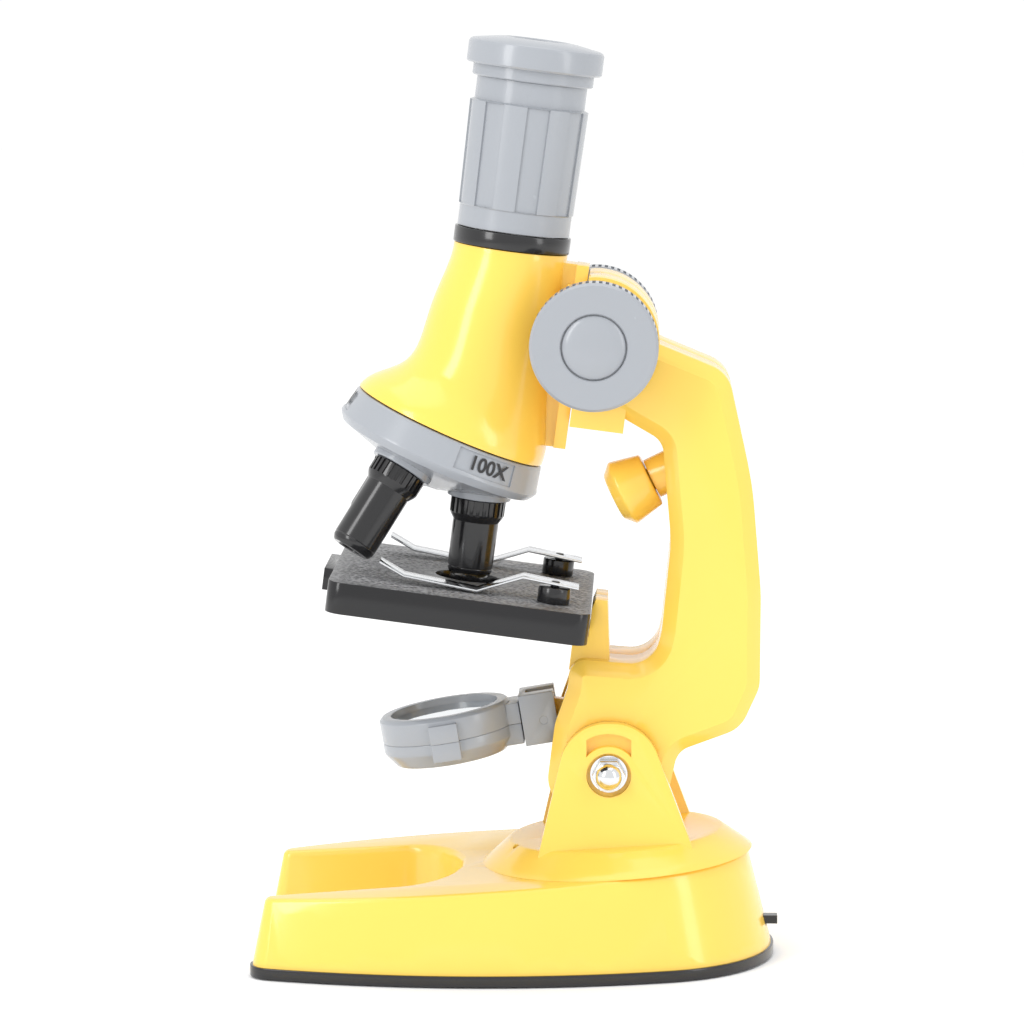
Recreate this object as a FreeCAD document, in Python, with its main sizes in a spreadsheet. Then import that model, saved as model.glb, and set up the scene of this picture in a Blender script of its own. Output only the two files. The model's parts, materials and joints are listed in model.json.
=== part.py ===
import FreeCAD, Part
import math
import os
import Sketcher

# A child's table microscope: a horseshoe base with a battery box, a forked pedestal, a hollow arm
# that leans back on a bolt, a racked tube with a turning eyepiece and a turret of three objectives,
# a stage with two spring clips, and a lamp that turns over to show a mirror.
# Frame: millimetres, +Z up, +X to the rear (the horseshoe opens to -X), Y across, and the origin on
# the table at the middle of the outline.

Vector = FreeCAD.Vector
Rotation = FreeCAD.Rotation
Placement = FreeCAD.Placement
doc = FreeCAD.newDocument("kids_microscope")

# ---------------------------------------------------------------- driving dimensions
SIZES = {
    # base
    "base_front": -61.9, "base_rear": 61.1, "base_side_x": -11.8, "base_side_y": 40.2,
    "rear_arc": 34.5, "front_corner": 5.5, "prong_corner": 3.4,
    "lean_front": 11.0, "lean_side": 8.5, "lean_rear": 13.5,
    "foot_high": 0.4, "plate_thick": 2.5, "plate_lip": 0.6, "base_wall": 2.2,
    "base_top_mid": 22.6, "base_slope": 3.9, "base_edge": 1.5,
    "notch_end": -14.5, "notch_half": 22.5, "notch_mouth": 23.8, "notch_deep": 14.0,
    # battery box and switch
    "cell_r": 7.2, "cell_long": 50.0, "cell_gap": 15.6, "cell_x": 16.0, "cell_z": 10.2,
    "tray_half_x": 17.6, "tray_half_y": 29.2, "tray_top": 16.5, "tray_wall": 1.6,
    "switch_z": 8.6, "switch_travel": 3.0, "tab_out": 62.5,
    # pedestal and fork
    "pedestal_x": 24.0, "pedestal_r": 32.5, "pedestal_top_r": 25.6,
    "pedestal_rise": 5.4, "pedestal_wall": 2.6,
    "ear_outer": 20.4, "ear_inner": 16.2, "ear_top": 12.4, "ear_arch": 11.4,
    "recess_r": 5.3, "recess_deep": 2.4, "window_half": 5.3, "window_low": 6.85, "window_high": 10.0,
    # pivot
    "pivot_x": 22.0, "pivot_z": 46.9, "lean": 7.35, "bolt_r": 2.0, "fit": 0.05,
    "nut_flats": 7.0, "nut_high": 3.2, "dome_r": 3.15,
    # arm
    "arm_half": 15.8, "arm_edge": 3.2, "arm_wall": 2.2,
    "shaft_x": -16.7, "shaft_z": 100.9, "cover_r": 15.2,
    # tube, eyepiece and turret
    "axis_x": -39.3,
    "collar_r": 13.85, "collar_low": 119.4, "collar_high": 123.2,
    "grip_r": 14.1, "cap_r": 16.1, "barrel_low": 123.5, "eye_r": 7.2,
    "apex_z": 105.4, "turret_lean": 16.5, "seam_drop": 31.1, "seam_r": 23.7, "drum_r": 25.4,
    "drum_drop": 38.0, "collet_drop": 46.4, "short_drop": 65.1, "long_drop": 68.7,
    "collet_r": 6.6, "objective_r": 5.4, "tip_r": 4.5,
    # focus drive
    "shaft_r": 2.0, "pitch_r": 4.0, "teeth": 10, "knob_r": 15.0, "knob_in": 21.2, "knob_out": 29.6,
    "knob_cap_r": 7.6, "rail_back": -20.3, "rail_half": 6.0, "rail_low": 73.9, "rail_high": 117.6,
    # stage
    "stage_front": -70.8, "stage_back": -9.3, "stage_half": 36.4, "stage_top": 39.7,
    "stage_thick": 7.4, "stage_wall": 2.0, "post_x": -18.4, "post_y": 23.5, "post_r": 3.8,
    "post_high": 3.8, "clip_thick": 0.6, "clip_wide": 7.0,
    # arm knob
    "arm_knob_x": 0.9, "arm_knob_z": 68.75, "arm_knob_turn": 236.2,
    # lamp
    "lamp_x": -39.4, "lamp_z": 1.75, "lamp_lean": 17.0, "lamp_r": 15.9, "lamp_thick": 12.0,
    "mirror_r": 13.0, "neck_at": 23.7,
}


class Size:
    """A length together with the sheet expression that drives it."""

    def __init__(self, value, text=None):
        self.value = float(value)
        self.text = text or "{:.6g}".format(self.value)

    def join(self, other, mark, value):
        return Size(value, "({} {} {})".format(self.text, mark, size(other).text))

    def __add__(self, other):
        return self.join(other, "+", self.value + size(other).value)

    def __sub__(self, other):
        return self.join(other, "-", self.value - size(other).value)

    def __mul__(self, other):
        return self.join(other, "*", self.value * size(other).value)

    def __neg__(self):
        return Size(-self.value, "(-1 * {})".format(self.text))

    def __radd__(self, other):
        return size(other) + self

    def __rsub__(self, other):
        return size(other) - self

    __rmul__ = __mul__


def size(number):
    return number if isinstance(number, Size) else Size(number)


def num(number):
    return size(number).value


class Sheet:
    """The spreadsheet: an attribute of it is a Size bound to the cell of that name."""

    def __init__(self, cells):
        self.page = doc.addObject("Spreadsheet::Sheet", "Sizes")
        for row, (name, value) in enumerate(cells.items(), start=1):
            self.page.set("A{}".format(row), name)
            self.page.set("B{}".format(row), str(value))
            self.page.setAlias("B{}".format(row), name)
        doc.recompute()

    def __getattr__(self, name):
        return Size(self.page.get(name), "Sizes.{}".format(name))


d = Sheet(SIZES)

# ---------------------------------------------------------------- helpers


def bind(item, prop, number):
    """Give a property its size, and its expression where the sheet drives it."""
    number = size(number)
    if "Sizes." in number.text:
        item.setExpression(prop, number.text)
    elif "." not in prop:
        setattr(item, prop, number.value)


def shift(item, x, y, z):
    item.Placement.Base = Vector(num(x), num(y), num(z))
    for letter, number in zip("xyz", (x, y, z)):
        bind(item, "Placement.Base." + letter, number)
    return item


def box(x, y, z):
    """A block between two limits along each axis."""
    item = doc.addObject("Part::Box", "Block")
    for prop, (low, high) in zip(("Length", "Width", "Height"), (x, y, z)):
        bind(item, prop, size(high) - low)
    return shift(item, x[0], y[0], z[0])


def rod(radius, low, high, x=0, y=0):
    """An upright cylinder."""
    item = doc.addObject("Part::Cylinder", "Rod")
    bind(item, "Radius", radius)
    bind(item, "Height", size(high) - low)
    return shift(item, x, y, low)


def cross_rod(radius, low, high, x=0, z=0):
    """A cylinder that lies along Y."""
    item = rod(radius, low, high)
    item.setExpression("Placement.Base.z", None)
    item.Placement.Rotation = Rotation(Vector(1, 0, 0), -90)
    return shift(item, x, low, z)


def cone(radius_low, radius_high, low, high, x=0, y=0):
    item = doc.addObject("Part::Cone", "Cone")
    bind(item, "Radius1", radius_low)
    bind(item, "Radius2", radius_high)
    bind(item, "Height", size(high) - low)
    return shift(item, x, y, low)


def join(*items):
    item = doc.addObject("Part::MultiFuse", "Joined")
    item.Shapes = list(items)
    return item


def group(*items):
    item = doc.addObject("Part::Compound", "Group")
    item.Links = list(items)
    return item


def cut(base, *tools):
    item = doc.addObject("Part::Cut", "Cut")
    item.Base = base
    item.Tool = tools[0] if len(tools) == 1 else join(*tools)
    return item


def common(base, tool):
    item = doc.addObject("Part::Common", "Common")
    item.Base = base
    item.Tool = tool
    return item


def rounded(base, radius, chosen):
    """Fillet the edges that the test picks."""
    doc.recompute()
    item = doc.addObject("Part::Fillet", "Rounded")
    item.Base = base
    picks = [index for index, edge in enumerate(base.Shape.Edges, start=1) if chosen(edge)]
    item.Edges = [(index, num(radius), num(radius)) for index in picks]
    return item


def plane_of(body, role):
    return next(part for part in body.Origin.OriginFeatures if part.Role == role)


def sketch_on(body, role, offset=0):
    sketch = body.newObject("Sketcher::SketchObject", "Outline")
    sketch.AttachmentSupport = [(plane_of(body, role), "")]
    sketch.MapMode = "FlatFace"
    bind(sketch, "AttachmentOffset.Base.z", offset)
    sketch.AttachmentOffset = Placement(Vector(0, 0, num(offset)), Rotation())
    return sketch


def polygon(sketch, corners):
    """Straight edges between corners, each corner dimensioned from the origin."""
    ends = [Vector(num(u), num(v), 0) for u, v in corners]
    count = len(ends)
    lines = [Part.LineSegment(ends[i], ends[(i + 1) % count]) for i in range(count)]
    sketch.addGeometry(lines, False)
    for i, (u, v) in enumerate(corners):
        sketch.addConstraint(Sketcher.Constraint("Coincident", i - 1 if i else count - 1, 2, i, 1))
        for kind, number in (("DistanceX", u), ("DistanceY", v)):
            at = sketch.addConstraint(Sketcher.Constraint(kind, -1, 1, i, 1, num(number)))
            if "Sizes." in size(number).text:
                sketch.setExpression("Constraints[{}]".format(at), size(number).text)


def turned(outline, label=None):
    """A piece turned about Z from (radius, height) corners."""
    body = doc.addObject("PartDesign::Body", "Turned")
    sketch = sketch_on(body, "XZ_Plane")
    polygon(sketch, outline)
    turn = body.newObject("PartDesign::Revolution", "Turn")
    turn.Profile = sketch
    turn.ReferenceAxis = (sketch, ["V_Axis"])
    turn.Angle = 360
    return body


def slab(corners, low, high, role="XZ_Plane"):
    """A plate cut to corners. On XZ it lies between two Y limits, on XY between two Z limits."""
    body = doc.addObject("PartDesign::Body", "Plate")
    start = -size(high) if role == "XZ_Plane" else low
    sketch = sketch_on(body, role, start)
    polygon(sketch, corners)
    pad = body.newObject("PartDesign::Pad", "Pad")
    pad.Profile = sketch
    bind(pad, "Length", size(high) - low)
    return body


def soften(body, radius, chosen):
    """Add a fillet feature to a body, on the edges that the test picks."""
    doc.recompute()
    tip = body.Tip
    names = ["Edge{}".format(i) for i, edge in enumerate(tip.Shape.Edges, start=1) if chosen(edge)]
    fillet = body.newObject("PartDesign::Fillet", "Round")
    fillet.Base = (tip, names)
    bind(fillet, "Radius", radius)
    return body


def near_line(u, v, axes="xz", reach=0.05):
    """A test for the edges that run straight through one point of a plan."""
    def chosen(edge):
        ends = [vertex.Point for vertex in edge.Vertexes]
        return len(ends) == 2 and all(
            math.hypot(getattr(p, axes[0]) - num(u), getattr(p, axes[1]) - num(v)) < reach
            for p in ends)
    return chosen


NODES = []


def node(label, item, place=None):
    """Name a finished sub-part and put it in its place."""
    if place is not None and item.TypeId in ("Part::Box", "Part::Cylinder"):
        item = group(item)
    item.Label = label
    if place is not None:
        item.Placement = place
    NODES.append(item)
    return item


def turn_y(angle):
    return Placement(Vector(), Rotation(Vector(0, 1, 0), angle))


def turn_z(angle):
    return Placement(Vector(), Rotation(Vector(0, 0, 1), angle))


def move(x=0, y=0, z=0):
    return Placement(Vector(num(x), num(y), num(z)), Rotation())


# Frames that the sub-parts are modelled in.
ARM = move(d.pivot_x, 0, d.pivot_z) * turn_y(num(d.lean))
TUBE = ARM * move(d.axis_x)
TURRET = TUBE * move(0, 0, d.apex_z) * turn_y(num(d.turret_lean))
SHAFT = ARM * move(d.shaft_x, 0, d.shaft_z)
LAMP = ARM * move(d.lamp_x, 0, d.lamp_z) * turn_y(-num(d.lamp_lean))
ARM_KNOB = ARM * move(d.arm_knob_x, 0, d.arm_knob_z) * turn_y(num(d.arm_knob_turn))


def screw(length, thread_r=1.2, head_r=2.4, head=1.6):
    """A pan-head screw that hangs below its head, head top at z = 0."""
    return join(rod(head_r, -head, 0), rod(thread_r, -length, -head + 0.1))


def screws_at(spots, length, flip=False, **sizes):
    """Identical screws, one at each spot; flipped ones point up."""
    parts = []
    for x, y, z in spots:
        item = screw(length, **sizes)
        turn = Rotation(Vector(1, 0, 0), 180) if flip else Rotation()
        item.Placement = Placement(Vector(num(x), num(y), num(z)), turn)
        parts.append(item)
    return group(*parts)


# ---------------------------------------------------------------- base
FLOOR = 0.0
plate_low = d.foot_high
plate_high = d.foot_high + d.plate_thick
BASE_TOP = move(0, 0, d.base_top_mid) * turn_y(-num(d.base_slope))
OVER = 1.0


def arc_about(centre, radius, start, end):
    """The short arc about a centre between the directions of two points."""
    first = (start - centre).normalize() * radius
    last = (end - centre).normalize() * radius
    middle = (first + last).normalize() * radius
    return Part.Arc(centre + first, centre + middle, centre + last).toShape()


def horseshoe(front, side, rear, height=0):
    """The horseshoe outline in a level plane, moved inwards at its front, sides and rear."""
    front_x, rear_x = num(d.base_front) + front, num(d.base_rear) - rear
    side_x, side_y = num(d.base_side_x), num(d.base_side_y) - side
    rear_arc = num(d.rear_arc) - side
    corner = num(d.front_corner) - 0.8 * front
    prong = num(d.prong_corner) - 0.45 * front
    mouth, wide, deep = (num(v) + 0.3 * front for v in (d.notch_mouth, d.notch_half, d.notch_deep))
    rear_centre = Vector(rear_x - rear_arc, 0, height)
    # The side arc that touches the rear arc and reaches the widest point.
    run = rear_centre.x - side_x
    side_arc = (run ** 2 + side_y ** 2 - rear_arc ** 2) / (2 * (side_y - rear_arc))
    side_centre = Vector(side_x, side_arc - side_y, height)
    touch = rear_centre + (rear_centre - side_centre).normalize() * rear_arc
    corner_x = front_x + corner
    drop = math.sqrt((side_arc - corner) ** 2 - (corner_x - side_x) ** 2)
    corner_centre = Vector(corner_x, side_centre.y - drop, height)
    corner_touch = corner_centre + (corner_centre - side_centre).normalize() * corner
    prong_centre = Vector(front_x + prong, -mouth - prong, height)
    notch_centre = Vector(num(d.notch_end) - num(d.notch_deep), 0, height)
    corner_tip, prong_tip = corner_centre - Vector(corner, 0, 0), prong_centre - Vector(prong, 0, 0)
    prong_end, notch_start = prong_centre + Vector(0, prong, 0), notch_centre - Vector(0, wide, 0)
    bend = [notch_centre + Vector(deep * math.sin(a), -wide * math.cos(a), 0)
            for a in (math.radians(15 * step) for step in range(7))]
    curve = Part.BSplineCurve()
    curve.interpolate(bend, InitialTangent=Vector(1, 0, 0), FinalTangent=Vector(0, 1, 0))
    near = [
        arc_about(side_centre, side_arc, touch, corner_touch),
        arc_about(corner_centre, corner, corner_touch, corner_tip),
        Part.makeLine(corner_tip, prong_tip),
        arc_about(prong_centre, prong, prong_tip, prong_end),
        Part.makeLine(prong_end, notch_start),
        curve.toShape(),
    ]
    far = [edge.mirror(Vector(), Vector(0, 1, 0)) for edge in near]
    rear_edge = Part.Arc(touch, Vector(rear_x, 0, height), Vector(touch.x, -touch.y, height))
    return Part.Wire(Part.__sortEdges__(near + far + [rear_edge.toShape()]))


def horseshoe_block(shrink, low, high=None):
    """A block on the horseshoe outline: leaning in past the sloping top, or straight up to high."""
    rise = math.tan(math.radians(num(d.base_slope)))
    bottom = horseshoe(shrink, shrink, shrink, num(low))
    if high is None:
        insets = []
        for x, lean in ((d.base_front, d.lean_front), (d.base_side_x, d.lean_side),
                        (d.base_rear, d.lean_rear)):
            tall = num(d.base_top_mid) + OVER + rise * num(x) - num(low)
            insets.append(shrink + tall * math.tan(math.radians(num(lean))))
        top = horseshoe(*insets)
        top.Placement = BASE_TOP * move(0, 0, OVER)
    else:
        top = horseshoe(shrink, shrink, shrink, num(high))
    walls = [Part.makeRuledSurface(a, b) for a, b in zip(bottom.Edges, top.Edges)]
    shell = Part.makeShell(walls + [Part.Face(bottom), Part.Face(top)])
    shell.sewShape()
    block = doc.addObject("Part::Feature", "Block")
    block.Shape = Part.Solid(shell)
    return block


def above_slope(drop=0):
    """Everything above the sloping top of the base, lowered by drop."""
    item = doc.addObject("Part::Box", "Above")
    item.Length, item.Width, item.Height = 260, 160, 60
    item.Placement = BASE_TOP * move(-130, -80, -drop)
    return item


def on_top_edge(edge):
    slope = math.tan(math.radians(num(d.base_slope)))
    return all(abs(v.Z - num(d.base_top_mid) - slope * v.X) < 0.05 for v in edge.Vertexes)


wall = num(d.base_wall)
outer = rounded(cut(horseshoe_block(0, plate_high), above_slope()), d.base_edge, on_top_edge)
# The wall round the notch is thickened by a plain block on an ellipse.
notch_x = d.notch_end - d.notch_deep
notch_rim = doc.addObject("Part::Ellipse", "Rim")
bind(notch_rim, "MajorRadius", d.notch_half + d.base_wall)
bind(notch_rim, "MinorRadius", d.notch_deep + d.base_wall)
notch_rim.Placement = move(notch_x, 0, 0) * turn_z(90)
notch_end = doc.addObject("Part::Extrusion", "NotchEnd")
notch_end.Base = notch_rim
notch_end.Dir = (0, 0, 1)
notch_end.LengthFwd = 40
notch_end.Solid = True
notch_side = d.notch_half + d.base_wall
notch_wall = join(notch_end, box((-80, notch_x), (-notch_side, notch_side), (0, 40)))
cavity = cut(horseshoe_block(wall, plate_high - 0.01), above_slope(wall), notch_wall)
SCREW_SPOTS = [(-52, -29.5), (-52, 29.5), (-6, -34), (-6, 34), (53, -15), (53, 15)]
YOKE_SCREWS = [(0, -10), (0, 10), (46, -10), (46, 10)]
yoke_ways = [rod(1.4, 12, 40, x, y) for x, y in YOKE_SCREWS]
bosses = common(join(*[rod(3.0, plate_high, 40, x, y) for x, y in SCREW_SPOTS]), outer)
pilots = [rod(0.95, plate_high - 1, plate_high + 9, x, y) for x, y in SCREW_SPOTS]
opening = rod(19, 12, 40, d.pedestal_x)
switch_slot = box((50, 70), (-4.5, 4.5), (d.switch_z - 1.5, d.switch_z + 1.5))
node("base_shell", cut(join(cut(outer, cavity), bosses), opening, switch_slot,
                       *pilots, *yoke_ways))

tray_x = (d.cell_x - d.tray_half_x, d.cell_x + d.tray_half_x)
door_x = (tray_x[0] + 0.3, tray_x[1] - 0.3)
plate = horseshoe_block(-num(d.plate_lip), plate_low, plate_high)
tray_y = (-d.tray_half_y, d.tray_half_y)
tray = cut(box(tray_x, tray_y, (plate_high - 0.5, d.tray_top)),
           box((tray_x[0] + d.tray_wall, tray_x[1] - d.tray_wall),
               (d.tray_wall - d.tray_half_y, d.tray_half_y - d.tray_wall),
               (FLOOR, d.tray_top + 1)))
door_hole = box((door_x[0] - 0.2, door_x[1] + 0.2), (-27.9, 27.9), (FLOOR, plate_high + 0.1))
screw_ways = [rod(1.4, FLOOR, plate_high + 1, x, y) for x, y in SCREW_SPOTS]
screw_pits = [rod(2.6, FLOOR, plate_low + 1.75, x, y) for x, y in SCREW_SPOTS]
FOOT_SPOTS = [(-44, -30), (-44, 30), (44, -20), (44, 20)]
foot_pits = [rod(4.2, FLOOR, plate_low + 0.5, x, y) for x, y in FOOT_SPOTS]
node("bottom_plate", cut(join(plate, tray), door_hole, *screw_ways, *screw_pits, *foot_pits))
node("battery_door", cut(
    box(door_x, (-27.7, 27.7), (plate_low, plate_high - 0.4)),
    *[box((d.cell_x - 8, d.cell_x + 8), (y - 0.5, y + 0.5), (FLOOR, plate_low + 0.4))
      for y in (-22, -19.5, -17)]))
node("base_screws", screws_at([(x, y, plate_low + 0.1) for x, y in SCREW_SPOTS], 8.5, flip=True))
node("rubber_feet", group(*[rod(4.0, FLOOR, plate_low + 0.5, x, y) for x, y in FOOT_SPOTS]))

cells, springs, tabs = [], [], []
cell_end = d.cell_long * 0.5
for side in (-1, 1):
    x = d.cell_x + side * 0.5 * d.cell_gap
    cap = cross_rod(2.7, side * cell_end - 0.6, side * cell_end + 0.6, x, d.cell_z)
    cells.append(join(cross_rod(d.cell_r, -cell_end + 0.6, cell_end - 0.6, x, d.cell_z), cap))
    tabs.append(box((x - 5, x + 5), (side * 27.4 - 0.2, side * 27.4 + 0.2), (4, 15)))
    coil = cut(cross_rod(3.2, -1.1, 1.1), cross_rod(2.4, -2, 2))
    coil.Placement = Placement(Vector(num(x), -side * 26.1, num(d.cell_z)), Rotation())
    springs.append(coil)
    tabs.append(box((x - 5, x + 5), (-side * 27.4 - 0.2, -side * 27.4 + 0.2), (4, 15)))
node("aa_cells", group(*cells))
node("battery_contacts", group(*tabs))
node("contact_springs", group(*springs))

# ---------------------------------------------------------------- pedestal with its two ears
def mound(shrink, low, high):
    """The round pedestal, square to the sloping top of the base."""
    item = cone(d.pedestal_r - shrink, d.pedestal_top_r - shrink, low, high)
    item.Placement = BASE_TOP * move(d.pedestal_x, 0, low)
    return item


def is_rim_of(radius):
    return lambda edge: abs(edge.Length - 2 * math.pi * num(radius)) < 0.5


hill = rounded(mound(0, 0, d.pedestal_rise), 1.6, is_rim_of(d.pedestal_top_r))
ear_high = d.pivot_z + d.ear_top
left_top, right_top = d.pivot_x - 9.4, d.pivot_x + 8.6
EAR_FOOT = 24
EAR = [(d.pivot_x - 17.4, EAR_FOOT), (d.pivot_x + 21.6, EAR_FOOT + 1), (right_top, ear_high),
       (left_top, ear_high)]
ears = []
for side in (-1, 1):
    low, high = (d.ear_inner, d.ear_outer) if side > 0 else (-d.ear_outer, -d.ear_inner)
    ear = slab(EAR, low, high)
    soften(ear, d.ear_arch, near_line(left_top, ear_high))
    soften(ear, d.ear_arch, near_line(right_top, ear_high))
    face = (side * (d.ear_outer - d.recess_deep), side * (d.ear_outer + 1))
    face = sorted(face, key=num)
    recess = cross_rod(d.recess_r, *face, x=d.pivot_x, z=d.pivot_z)
    ring = cut(cross_rod(d.window_high, *face, x=d.pivot_x, z=d.pivot_z),
               cross_rod(d.window_low, face[0] - 1, face[1] + 1, d.pivot_x, d.pivot_z))
    window = common(ring, box((d.pivot_x - d.window_half, d.pivot_x + d.window_half), face,
                              (d.pivot_z, d.pivot_z + 14)))
    ears.append(cut(ear, recess, window))
bolt_hole = cross_rod(d.bolt_r + d.fit, -30, 30, d.pivot_x, d.pivot_z)
below = doc.addObject("Part::Box", "Below")
below.Length, below.Width, below.Height = 160, 120, 40
below.Placement = BASE_TOP * move(-60, -60, -39.98)
hollow = common(mound(d.pedestal_wall, 0, d.pedestal_rise - d.pedestal_wall),
                box((8, 40), (-13, 13), (0, 60)))
spigot = rod(18.8, 18.6, 26, d.pedestal_x)
lead_way = rod(2.0, 10, 40, d.pivot_x)
yoke_pilots = [rod(0.95, 18, 28, x, y) for x, y in YOKE_SCREWS]
node("pedestal_yoke", cut(join(cut(join(hill, *ears), below), spigot), hollow, bolt_hole, lead_way,
                          *yoke_pilots))
slope = math.tan(math.radians(num(d.base_slope)))
under_top = num(d.base_top_mid) - wall
SCREW_HEAD = 1.6
YOKE_SCREW = 6.4
node("yoke_screws", screws_at([(x, y, under_top + slope * x - SCREW_HEAD - 0.2) for x, y in YOKE_SCREWS],
                              YOKE_SCREW, flip=True, head_r=2.2))

bolt_far = d.ear_outer - d.recess_deep
bolt = join(cross_rod(d.bolt_r, 4.6 - d.ear_outer - 6.5, bolt_far, d.pivot_x, d.pivot_z),
            cross_rod(3.8, bolt_far + 0.5, bolt_far + 3.0, d.pivot_x, d.pivot_z),
            cross_rod(d.bolt_r, bolt_far - 0.1, bolt_far + 0.6, d.pivot_x, d.pivot_z))
node("pivot_bolt", bolt)
washers = []
for low in (bolt_far, -bolt_far - 0.5):
    washers.append(cut(cross_rod(4.4, low, low + 0.5, d.pivot_x, d.pivot_z),
                       cross_rod(d.bolt_r + 0.1, low - 1, low + 1.6, d.pivot_x, d.pivot_z)))
node("pivot_washers", group(*washers))
hexagon = doc.addObject("Part::Prism", "Hexagon")
hexagon.Polygon = 6
bind(hexagon, "Circumradius", d.nut_flats * (1 / math.sqrt(3)))
bind(hexagon, "Height", d.nut_high)
dome = doc.addObject("Part::Sphere", "Dome")
bind(dome, "Radius", d.dome_r)
dome.Placement = move(0, 0, d.nut_high)
shank_way = rod(d.bolt_r - 0.02, -1, d.nut_high + 0.3)
node("cap_nut", cut(join(hexagon, dome), shank_way),
     move(d.pivot_x, -num(bolt_far) - 0.5, d.pivot_z) * Placement(Vector(), Rotation(Vector(1, 0, 0), 90)))

# The power switch: a body behind the rear wall, and a tab that slides across.
switch_x = d.base_rear - 11.2
node("switch_body", cut(box((switch_x, switch_x + 5.4), (-9, 9), (d.switch_z - 3.2, d.switch_z + 3.2)),
                        box((switch_x + 3, switch_x + 6), (-5, 5), (d.switch_z - 1.6, d.switch_z + 1.6))))
node("switch_tab", join(
    box((switch_x + 3.4, switch_x + 5.2), (-d.switch_travel * 0.5 - 2.6, 2.6 - d.switch_travel * 0.5),
        (d.switch_z - 1.25, d.switch_z + 1.25)),
    box((switch_x + 5, d.tab_out), (-d.switch_travel * 0.5 - 1.5, 1.5 - d.switch_travel * 0.5),
        (d.switch_z - 1.0, d.switch_z + 1.0))))


def lead(points, radius=0.6):
    """An insulated lead along straight runs joined by tangent arcs."""
    spots = [Vector(*(num(v) for v in point)) for point in points]
    edges, start = [], spots[0]
    for before, spot, after in zip(spots, spots[1:], spots[2:]):
        back, ahead = before - spot, after - spot
        reach = 0.45 * min(back.Length, ahead.Length)
        half_turn = (math.pi - back.getAngle(ahead)) / 2
        enter, leave = spot + back.normalize() * reach, spot + ahead.normalize() * reach
        centre_way = (back + ahead).normalize()
        bend_r = reach / math.tan(half_turn)
        middle = spot + centre_way * (bend_r / math.cos(half_turn) - bend_r)
        edges += [Part.makeLine(start, enter), Part.Arc(enter, middle, leave).toShape()]
        start = leave
    edges.append(Part.makeLine(start, spots[-1]))
    path = Part.Wire(edges)
    ring = Part.Wire(Part.makeCircle(radius, spots[0], spots[1] - spots[0]))
    item = doc.addObject("Part::Feature", "Lead")
    item.Shape = path.makePipeShell([ring], True, True)
    return item


node("switch_leads", group(
    lead([(38.5, 20, 7), (44, 16, 6), (48, 9, 7), (switch_x, 6, d.switch_z)]),
    lead([(38.5, -20, 7), (44, -16, 6), (48, -9, 7), (switch_x, -6, d.switch_z)])))

# ---------------------------------------------------------------- arm
# Corners are (X, Z) from the pivot in the arm's own frame, each with the radius that rounds it.
ARM_CORNERS = [
    ((-12.0, 105.0), 0), ((-12.0, 85.6), 0), ((2.2, 79.6), 5), ((7.4, 56.0), 40), ((8.0, 35.0), 0),
    ((7.2, 26.3), 7), ((-12.8, 25.2), 4), ((-12.2, 18.6), 9), ((-14.2, 9.0), 9), ((-14.2, -6.0), 8),
    ((-8.5, -12.2), 8), ((9.0, -12.2), 8), ((14.6, -4.0), 8), ((15.6, 6.6), 5), ((29.6, 14.0), 8),
    ((32.8, 24.5), 8), ((30.0, 47.0), 60), ((24.6, 72.0), 80), ((15.4, 97.6), 8),
]


def rounded_outline(corners):
    """A closed side view from ((x, z), radius) corners, as straight runs joined by tangent arcs."""
    spots = [Vector(x, 0, z) for (x, z), _ in corners]
    ends = []
    for i, (_, radius) in enumerate(corners):
        spot = spots[i]
        if not radius:
            ends.append((spot, spot, spot))
            continue
        back, ahead = spots[i - 1] - spot, spots[(i + 1) % len(spots)] - spot
        half_turn = (math.pi - back.getAngle(ahead)) / 2
        reach = radius * math.tan(half_turn)
        way = (back.normalize() + ahead.normalize()).normalize()
        middle = spot + way * (radius / math.cos(half_turn) - radius)
        ends.append((spot + back * reach, middle, spot + ahead * reach))
    edges = []
    for i, ((_, radius), (enter, middle, leave)) in enumerate(zip(corners, ends)):
        if radius:
            edges.append(Part.Arc(enter, middle, leave).toShape())
        edges.append(Part.makeLine(leave, ends[(i + 1) % len(ends)][0]))
    return Part.Face(Part.Wire(edges))


def plan_solid(face, low, high):
    """A side view given its thickness between two Y limits."""
    solid = face.extrude(Vector(0, num(high) - num(low), 0))
    solid.translate(Vector(0, num(low), 0))
    return solid


def feature(shape):
    item = doc.addObject("Part::Feature", "Solid")
    item.Shape = shape
    return item


def bevelled(face, half, bevel):
    """A side view between -half and half, with both of its rims bevelled."""
    solid = plan_solid(face, -half, half)
    rims = [e for e in solid.Edges if all(abs(abs(v.Y) - half) < 0.01 for v in e.Vertexes)
            and abs(e.CenterOfMass.y) > half - 0.01]
    return solid.makeChamfer(bevel, rims)


arm_half, arm_wall = num(d.arm_half), num(d.arm_wall)
arm_face = rounded_outline(ARM_CORNERS)
arm_body = feature(bevelled(arm_face, arm_half, num(d.arm_edge)))
inner_face = Part.Face(arm_face.OuterWire.makeOffset2D(-arm_wall, 0, False, False, False))
arm_core = feature(plan_solid(inner_face, arm_wall - arm_half, arm_half - arm_wall))
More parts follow.
